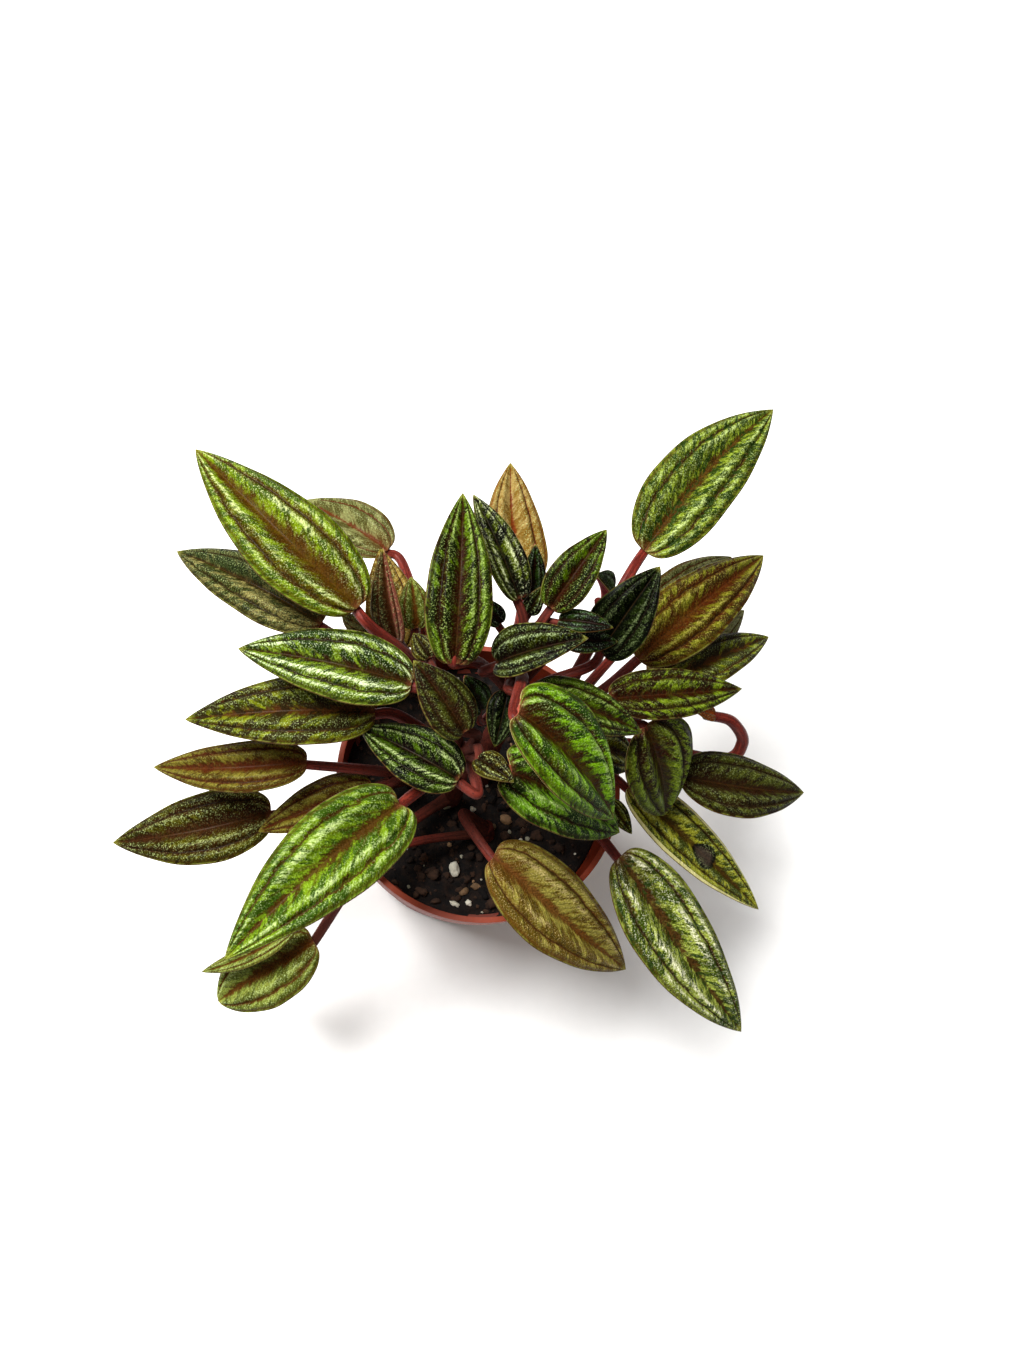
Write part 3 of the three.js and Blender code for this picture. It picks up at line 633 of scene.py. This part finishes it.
def bent(axes, x, y, lift, sweep):
    """Flat blade coordinates as points on the arched blade: x along, y across and lift out of its face."""
    half, length = axes.half, axes.length
    share = np.clip(x / length, -0.2, 1.05)
    turn = (2 * share - 1) * half
    radius = length / (2 * math.sin(half))
    along, face, across, start = (np.array(v) for v in (axes.along, axes.face, axes.across, axes.start))
    bow = y + sweep * np.sin(np.pi * np.clip(share, 0, 1))
    sine, cosine = np.sin(turn)[:, None], np.cos(turn)[:, None]
    centre = start + along * radius * (sine + math.sin(half)) + face * radius * (cosine - math.cos(half))
    normal = face * cosine + along * sine
    return centre + across * bow[:, None] + normal * lift[:, None]


def outline(s, tip):
    """The half width along the blade as a share of the widest. A smaller tip makes a blunter tip."""
    base = BLADE.base_shape
    widest = base / (base + tip)
    return (s ** base * (1 - s) ** tip) / (widest ** base * (1 - widest) ** tip)


def vein_zone(t, lateral):
    """0 at the midrib, 1 at the lateral vein, 2 at the outer one, past 2 at the margin."""
    return np.interp(np.abs(t), [0, lateral, BLADE.outer, 1], [0, 1, 2, 2.4]) * np.sign(t)


def ridge(v):
    """A long slope from the midrib to a crest beside the lateral groove, then a lower crest."""
    inner = np.sin(np.pi * np.minimum(v, 1) ** 2)
    outer = 0.6 * np.sin(np.pi * np.clip(v - 1, 0, 1)) ** 0.8
    return inner + outer


def joint_inset(spec):
    """How far the petiole's joint lies in from the back of the blade's lobes."""
    if spec.inset > BLADE.inset:
        return spec.inset
    return min(spec.inset, BLADE.inset_share * spec.width)


def blade_lift(spec, m, t, x, y, size, zone, phases):
    """How far the upper face stands out of the flat blade: its fold, ridges, pillows, waves and edges."""
    v, side, out = np.abs(zone), np.sign(t), np.abs(t)
    lift = np.sqrt(y ** 2 + 0.02) * math.tan(math.radians(spec.fold))
    lift = lift + BLADE.relief * size * ridge(v) - BLADE.crease * np.exp(-(v / 0.05) ** 2)
    count = blade_axes(spec).length / BLADE.pillow
    wander = 0.12 * np.sin(11 * m + phases[4] + 2 * side) + 0.1 * np.sin(23 * m + phases[5])
    chevron = np.abs(np.sin(math.pi * (count * m - 1.4 * v + wander + 0.3 * side))) ** 0.6
    lift = lift + BLADE.pillow_rise * size * chevron * np.sin(np.pi * np.minimum(v / 1.2, 1)) ** 1.5
    lift = lift + BLADE.wave * size * np.sin(5 * m + phases[3] + 1.5 * side) * out ** 2
    lift = lift - BLADE.curl * size * np.clip((out - 0.75) / 0.25, 0, 1) ** 2
    reach = (x - joint_inset(spec)) ** 2 + y ** 2
    return lift - BLADE.dimple * spec.width * np.exp(-reach / (BLADE.dimple_width * spec.width) ** 2)


def blade_faces(rows, columns):
    """The faces of a blade's mesh, and 0 for each one of the upper face and 1 for each one of the lower."""
    wide, last = columns + 1, rows - 2
    grid = (rows - 1) * wide
    left, right = 2 * grid, 2 * grid + rows - 1
    base_top, tip_top, base_low, tip_low = range(right + rows - 1, right + rows + 3)
    faces, kinds = [], []

    def add(kind, *corners):
        faces.append(corners)
        kinds.append(kind)

    for i in range(last):
        for k in range(columns):
            a, b = i * wide + k, i * wide + k + 1
            add(0, a, b, b + wide, a + wide)
            add(1, a + grid, a + wide + grid, b + wide + grid, b + grid)
        a, b = i * wide, i * wide + columns
        add(0, left + i, a, a + wide, left + i + 1)
        add(1, a + grid, left + i, left + i + 1, a + wide + grid)
        add(0, b, right + i, right + i + 1, b + wide)
        add(1, right + i, b + grid, b + wide + grid, right + i + 1)
    for k in range(columns):
        a, b, end = k, k + 1, last * wide + k
        add(0, base_top, b, a)
        add(1, base_low, a + grid, b + grid)
        add(0, tip_top, end, end + 1)
        add(1, tip_low, end + 1 + grid, end + grid)
    for row, end_top, end_low, turn in ((0, base_top, base_low, 1), (last, tip_top, tip_low, -1)):
        a, b = row * wide, row * wide + columns
        for kind, *corners in (
            (0, end_top, a, left + row), (0, end_top, right + row, b),
            (1, end_low, left + row, a + grid), (1, end_low, b + grid, right + row),
            (1, end_top, left + row, end_low), (1, end_top, end_low, right + row),
        ):
            add(kind, *corners[::turn])
    return faces, kinds


def blade_mesh(name, spec, seed):
    """A blade: a grid of points on each face, a row along each side, and two points at each end."""
    axes = blade_axes(spec)
    width, length, sweep = spec.width, axes.length, spec.sweep
    rows, columns = next(grid for least, *grid in GRIDS if width > least)
    rng = np.random.default_rng(seed)
    phases = rng.uniform(0, 2 * math.pi, 6)
    lateral = BLADE.lateral + rng.uniform(-0.04, 0.04)
    share = (np.arange(1, rows) / rows) ** BLADE.crowding
    m, t = share[:, None], np.linspace(-1, 1, columns + 1)[None, :]

    inset = joint_inset(spec)
    middle = inset + (length - inset) * m
    back = length * m + inset * np.exp(-m / BLADE.sinus)
    x = middle + (back - middle) * np.abs(t)
    shape = outline(m, spec.taper)
    wobble = 1 + 0.012 * np.sin(9 * m + phases[0]) + 0.008 * np.sin(21 * m + phases[1])
    y = width / 2 * shape * wobble * t
    zone = np.broadcast_to(vein_zone(t, lateral), y.shape)
    lift = blade_lift(spec, m, t, x, y, shape * width, zone, phases)
    thin = 1 - (1 - BLADE.edge_share) * np.abs(t) ** 3
    thickness = BLADE.thickness * min(1, BLADE.slim + width / BLADE.full_width) * thin
    rib = BLADE.rib * np.exp(-(y / BLADE.rib_width) ** 2) * (1 - BLADE.rib_fade * m)
    rib = rib + BLADE.side_rib * np.exp(-((np.abs(zone) - 1) / BLADE.side_rib_width) ** 2)
    under = lift - thickness - rib

    points = [bent(axes, x.ravel(), y.ravel(), face.ravel(), sweep) for face in (lift, under)]
    for column, out in ((0, -BLADE.edge_round), (columns, BLADE.edge_round)):
        level = (lift[:, column] + under[:, column]) / 2
        points.append(bent(axes, x[:, column], y[:, column] + out, level, sweep))
    end_lift = np.array([-BLADE.dimple * width, 0.0])
    for drop in (0, BLADE.thickness / 2):
        points.append(bent(axes, np.array([inset, length]), np.zeros(2), end_lift - drop, sweep))

    mark = seed * BLADE.grain_step
    across = np.broadcast_to(np.abs(t), y.shape)
    blade = np.stack([zone.ravel(), np.broadcast_to(m, y.shape).ravel(), across.ravel()], 1)
    grain = np.stack([y.ravel(), x.ravel(), np.full(y.size, mark)], 1)
    ones = np.ones(rows - 1)
    side_blades = [np.stack([side * 2.5 * ones, share, ones], 1) for side in (-1, 1)]
    side_grains = [np.stack([y[:, column], x[:, column], mark * ones], 1) for column in (0, columns)]
    return mesh_of(
        name, np.concatenate(points), *blade_faces(rows, columns),
        blade=np.concatenate([blade, blade, *side_blades, [[0, 0, 0], [0, 1, 0]] * 2]),
        grain=np.concatenate([grain, grain, *side_grains, [[0, inset, mark], [0, length, mark]] * 2]),
    )


def make_leaves():
    uppers = {name: upper_material(name, face) for name, face in LOOKS.items()}
    lowers = {name: lower_material(name, face) for name, face in UNDERSIDES.items()}
    seed = 0
    for stem, leaves in LEAVES.items():
        for i, spec in enumerate(leaves, 1):
            seed += 1
            name, node = f"blade_{stem}_{i}", f"leaf_{stem}_{i}"
            skins = [uppers[spec.look], lowers[spec.under]]
            finished(name, blade_mesh(name, spec, seed), [node], skins)


# Stems

def petiole_line(stem, spec):
    """From the stem's axis to the underside of the blade, and a little way on below its midrib."""
    axes = blade_axes(spec)
    inset = joint_inset(spec)
    turn = (2 * inset / axes.length - 1) * axes.half
    normal = axes.face * math.cos(turn) + axes.along * math.sin(turn)
    tangent = axes.along * math.cos(turn) - axes.face * math.sin(turn)
    depth = BLADE.dimple * spec.width + BLADE.thickness / 2 + PETIOLE.end_radius
    joint = Vector(bent(axes, np.array([inset]), np.zeros(1), np.zeros(1), spec.sweep)[0]) - normal * depth
    foot, top = Vector((*stem.foot, SOIL.top)), Vector(stem.top)
    root = foot.lerp(top, (spec.start - foot.z) / (top.z - foot.z))
    if spec.via:
        points = [root, *(Vector(p) for p in spec.via)]
    else:
        before = joint - tangent * PETIOLE.approach
        middle = root.lerp(before, PETIOLE.middle) + UP * (before - root).length * PETIOLE.lift
        points = [root, middle, before]
    return catmull_rom([*points, joint, joint + tangent * PETIOLE.tuck * axes.length], PETIOLE.steps)


def trunk_form(stem):
    """A trunk's axis, with its radius and its age at each point: old at the soil, narrower at the top."""
    ground = Vector((*stem.foot, SOIL.top))
    bottom, top = ground - UP * TRUNK.bury, Vector(stem.top)
    axis = [bottom.lerp(ground, i / TRUNK.bury_steps) for i in range(TRUNK.bury_steps)]
    axis += [ground.lerp(top, i / TRUNK.steps) for i in range(TRUNK.steps + 1)]
    radii = []
    for i in range(len(axis)):
        share = i / (len(axis) - 1)
        ring = TRUNK.ring * max(0, math.cos(share * TRUNK.ring_turn)) ** 6
        radii.append(stem.radius * (1 - TRUNK.taper * share) * (TRUNK.slim + ring))
    radii[-1] *= TRUNK.end
    return axis, radii, [1 - TRUNK.youth * i / len(axis) for i in range(len(axis))]


def petiole_form(stem, spec):
    """The same for a petiole: a sheath at its root, a flare at the blade, old near the soil and trunk."""
    line = petiole_line(stem, spec)
    slim = min(1.0, PETIOLE.slim + spec.width / PETIOLE.full_width) * spec.stout
    radii, ages = [], []
    for i, point in enumerate(line):
        share = i / (len(line) - 1)
        radius = PETIOLE.root_radius + (PETIOLE.end_radius - PETIOLE.root_radius) * share
        sheath = PETIOLE.sheath * bell(share, 0, PETIOLE.sheath_reach)
        flare = PETIOLE.flare * bell(share, PETIOLE.flare_at, PETIOLE.flare_reach)
        pinch = max(0, share - PETIOLE.pinch_from) / (1 - PETIOLE.pinch_from)
        radii.append(radius * slim * (1 + sheath + flare) * (1 - PETIOLE.pinch * pinch))
        low = max(0, 1 - (point.z - SOIL.top) / PETIOLE.old_height)
        near = bell((point.xy - Vector(stem.top).xy).length, 0, PETIOLE.old_reach)
        ages.append(min(1, PETIOLE.low_age * low + PETIOLE.near_age * near))
    return line, radii, ages


def make_stem(name, stem, leaves, material, seed):
    points, faces, run, grain = [], [], [], []
    rng = random.Random(seed)
    forms = [(trunk_form(stem), TRUNK.sides, 0.0)]
    forms += [(petiole_form(stem, spec), PETIOLE.sides, PETIOLE.groove) for spec in leaves]
    for (centres, radii, ages), sides, groove in forms:
        more, angles, more_faces = tube(centres, radii, sides, groove)
        offset, length, mark = len(points), 0.0, rng.uniform(0, 90)
        for i, centre in enumerate(centres):
            length += (centre - centres[i - 1]).length if i else 0.0
            for k in range(sides):
                run.append((i / (len(centres) - 1), ages[i], 0))
                grain.append((angles[i * sides + k] * radii[i], length, mark))
        points.extend(more)
        faces.extend(tuple(offset + v for v in face) for face in more_faces)
    mesh = mesh_of("shoot_" + name, points, faces, run=run, grain=grain)
    finished("shoot_" + name, mesh, ["stem_" + name], [material])


# Pot and soil

def lathe(profile, segments):
    """A closed body of revolution from points of radius and height, which start and end on the axis."""
    rings = profile[1:-1]
    points = [(0, 0, profile[0][1]), (0, 0, profile[-1][1])]
    for radius, height in rings:
        for k in range(segments):
            angle = 2 * math.pi * k / segments
            points.append((radius * math.cos(angle), radius * math.sin(angle), height))
    faces = []
    for i in range(len(rings) - 1):
        for k in range(segments):
            a, b = 2 + i * segments + k, 2 + i * segments + (k + 1) % segments
            faces.append((a, b, b + segments, a + segments))
    last = 2 + (len(rings) - 1) * segments
    for k in range(segments):
        n = (k + 1) % segments
        faces.append((0, 2 + n, 2 + k))
        faces.append((1, last + k, last + n))
    return points, faces


def inner_radius(height):
    """The pot's inner wall below its collar."""
    shoulder = POT.height - POT.collar_height
    slope = (POT.shoulder_radius - POT.foot_radius) / shoulder
    return POT.foot_radius - POT.wall + slope * height


def applied(work, kind, **settings):
    """Adds a modifier to an object and applies it."""
    modifier = work.modifiers.new(kind.lower(), kind)
    for key, value in settings.items():
        setattr(modifier, key, value)
    graph = bpy.context.evaluated_depsgraph_get()
    mesh = bpy.data.meshes.new_from_object(work.evaluated_get(graph))
    work.modifiers.clear()
    work.data = mesh


def make_pot():
    height, rim, wall = POT.height, POT.rim_radius, POT.wall
    shoulder, lip = height - POT.collar_height, height - POT.lip_height
    ledge = shoulder - wall
    profile = [
        (0, 0), (POT.foot_radius, 0), (POT.shoulder_radius, shoulder), (POT.collar_foot_radius, shoulder),
        (rim - POT.lip_proud, lip - POT.lip_slope), (rim, lip), (rim, height), (rim - wall, height),
        (POT.collar_foot_radius - wall, ledge), (inner_radius(ledge), ledge),
        (inner_radius(POT.floor), POT.floor), (0, POT.floor),
    ]
    body = placed("pot_body", mesh_of("pot_body", *lathe(profile, POT.segments)))
    radius, low, high = DRAIN.radius, -DRAIN.past, POT.floor + DRAIN.past
    pin, pin_faces = lathe([(0, low), (radius, low), (radius, high), (0, high)], DRAIN.sides)
    points, faces = [], []
    for i in range(DRAIN.count):
        angle = 2 * math.pi * i / DRAIN.count
        x, y = DRAIN.ring * math.cos(angle), DRAIN.ring * math.sin(angle)
        faces += [tuple(len(points) + v for v in face) for face in pin_faces]
        points += [(px + x, py + y, pz) for px, py, pz in pin]
    drill = placed("drill", mesh_of("drill", points, faces))
    applied(body, "BOOLEAN", operation="DIFFERENCE", solver="EXACT", object=drill)
    applied(body, "BEVEL", width=POT.edge_radius * MM, segments=POT.edge_segments, limit_method="ANGLE",
            angle_limit=math.radians(POT.edge_angle), use_clamp_overlap=True)
    mesh = body.data
    bpy.data.objects.remove(body)
    bpy.data.objects.remove(drill)
    mesh.materials.clear()
    finished("pot_shell", mesh, ["pot"], [pot_material()])
    mesh.set_sharp_from_angle(angle=math.radians(POT.sharp_angle))


def soil_height(x, y):
    """The soil's top, in millimetres above the pot's foot: clods, crumbs, lumps and finer grit."""
    clods = math.sin(2 * math.pi * x / SOIL.clod) * math.sin(2 * math.pi * y / SOIL.clod)
    crumbs = math.sin(2 * math.pi * (x - y) / SOIL.crumb) * math.sin(2 * math.pi * (x + y) / SOIL.crumb)
    height = SOIL.top + SOIL.swell_share * SOIL.swell * (clods + crumbs) / 2
    for size, rise, layer in (SOIL.lumps, SOIL.grit):
        height += rise * noise.noise(Vector((x / size, y / size, layer)))
    return height


def make_soil(material):
    top, rings = SOIL.top, SOIL.rings
    edge = POT.collar_foot_radius - POT.wall - SOIL.clearance
    foot = POT.floor + SOIL.gap
    shoulder = top - SOIL.shoulder_drop
    profile = [(0, foot), (inner_radius(foot) - SOIL.clearance, foot),
               (inner_radius(top - 1) - SOIL.clearance, shoulder), (edge, top - SOIL.edge_drop)]
    profile += [(edge * (rings - i) / rings, top) for i in range(1, rings)]
    profile.append((0, top))
    points, faces = lathe(profile, SOIL.segments)
    points = [(x, y, soil_height(x, y) if z == top else z) for x, y, z in points]
    tone, size = SOIL.tone, SOIL.tone_size
    tones = [(tone * (1 + noise.noise(Vector((x / size, y / size, 1)))), 0, 0) for x, y, z in points]
    mesh = mesh_of("soil_bed", points, faces, tone=tones)
    finished("soil_bed", mesh, ["soil"], [material])


def unit_lump(detail):
    ball = bmesh.new()
    bmesh.ops.create_icosphere(ball, subdivisions=detail, radius=1)
    points = np.array([v.co for v in ball.verts])
    faces = [tuple(v.index for v in face.verts) for face in ball.faces]
    ball.free()
    return points, faces


def make_lumps(name, places, detail, dent, material, seed):
    """Rough lumps sunk into the soil's top. Each place is x, y, length, width and height."""
    rng = np.random.default_rng(seed)
    ball, ball_faces = unit_lump(detail)
    points, faces, tones = [], [], []
    for x, y, length, width, height in places:
        turn = rng.uniform(0, 2 * math.pi)
        tilt = rng.uniform(-GRAIN.tilt, GRAIN.tilt)
        shift = rng.uniform(0, 99, 3)
        rough = np.array([1 + dent * noise.noise(Vector(p * GRAIN.dents + shift)) for p in ball])
        lump = ball * rough[:, None] * np.array([length, width, height]) / 2
        spin = Matrix.Rotation(turn, 3, "Z") @ Matrix.Rotation(tilt, 3, "X")
        lump = lump @ np.array(spin).T + np.array([x, y, soil_height(x, y) + GRAIN.rise * height])
        faces.extend(tuple(len(points) + v for v in face) for face in ball_faces)
        points.extend(lump.tolist())
        tones.extend([(rng.uniform(0, 1), 0, 0)] * len(lump))
    finished(name, mesh_of(name, points, faces, tone=tones), [], [material])


def scattered(count, lengths, flat, seed):
    """Random places for lumps all over the soil, mostly small ones."""
    rng = random.Random(seed)
    smallest, largest = lengths
    places = []
    while len(places) < count:
        radius, angle = SOIL.spread * math.sqrt(rng.random()), rng.uniform(0, 2 * math.pi)
        length = smallest + (largest - smallest) * rng.random() ** 3
        width = length * rng.uniform(*GRAIN.slim)
        places.append((radius * math.cos(angle), radius * math.sin(angle), length, width,
                       width * rng.uniform(*flat)))
    return places


def make_grains():
    for seed, (name, kind) in enumerate(GRAINS.items(), 1):
        places = [(*place, place[3] * GRAIN.flat) for place in kind.placed]
        places += scattered(kind.count, kind.lengths, kind.flat, 10 + seed)
        material = soil_material(name + "_skin", kind.tones, kind.roughness)
        make_lumps(name, places, kind.detail, kind.dent, material, seed)


# Stage

def make_floor():
    shade = Shade("floor_paper", Specular_IOR_Level=0.2)
    material = shade.finish(shade.mix(shade.place().noise(300.0), *FLOOR_TONES), 0.9)
    corners = [(x * FLOOR_REACH, y * FLOOR_REACH, 0) for x, y in ((-1, -1), (1, -1), (1, 1), (-1, 1))]
    floor = placed("floor", mesh_of("floor", corners, [(0, 1, 2, 3)]))
    floor.data.materials.append(material)


def make_lights():
    lamp = bpy.data.lights.new("window", "AREA")
    lamp.size = LAMP.size * MM
    lamp.energy = LAMP.power
    light = placed("window", lamp)
    light.location = Vector(LAMP.place) * MM
    light.rotation_euler = (Vector(LAMP.aim) - Vector(LAMP.place)).to_track_quat("-Z", "Y").to_euler()
    world = bpy.data.worlds.new("studio")
    world.use_nodes = True
    sky = world.node_tree.nodes["Background"].inputs
    sky["Color"].default_value = (1, 1, 1, 1)
    sky["Strength"].default_value = SKY_STRENGTH
    bpy.context.scene.world = world
    bpy.context.scene.view_settings.view_transform = "Standard"


def make_camera():
    lens = bpy.data.cameras.new("camera")
    lens.sensor_width = CAMERA.sensor
    lens.lens = CAMERA.focal_pixels / CAMERA.image_height * CAMERA.sensor
    lens.clip_start = CAMERA.near * MM
    camera = placed("camera", lens)
    turned = Matrix([CAMERA.right, CAMERA.up, CAMERA.back]).transposed().to_4x4()
    camera.matrix_world = Matrix.Translation(Vector(CAMERA.place) * MM) @ turned
    bpy.context.scene.camera = camera


make_camera()
make_floor()
make_lights()
make_pot()
make_soil(soil_material("soil_peat", PEAT_TONES))
make_grains()
petiole_skin = stem_material()
for number, (name, stem) in enumerate(STEMS.items()):
    make_stem(name, stem, LEAVES[name], petiole_skin, number)
make_leaves()

bpy.context.view_layer.update()
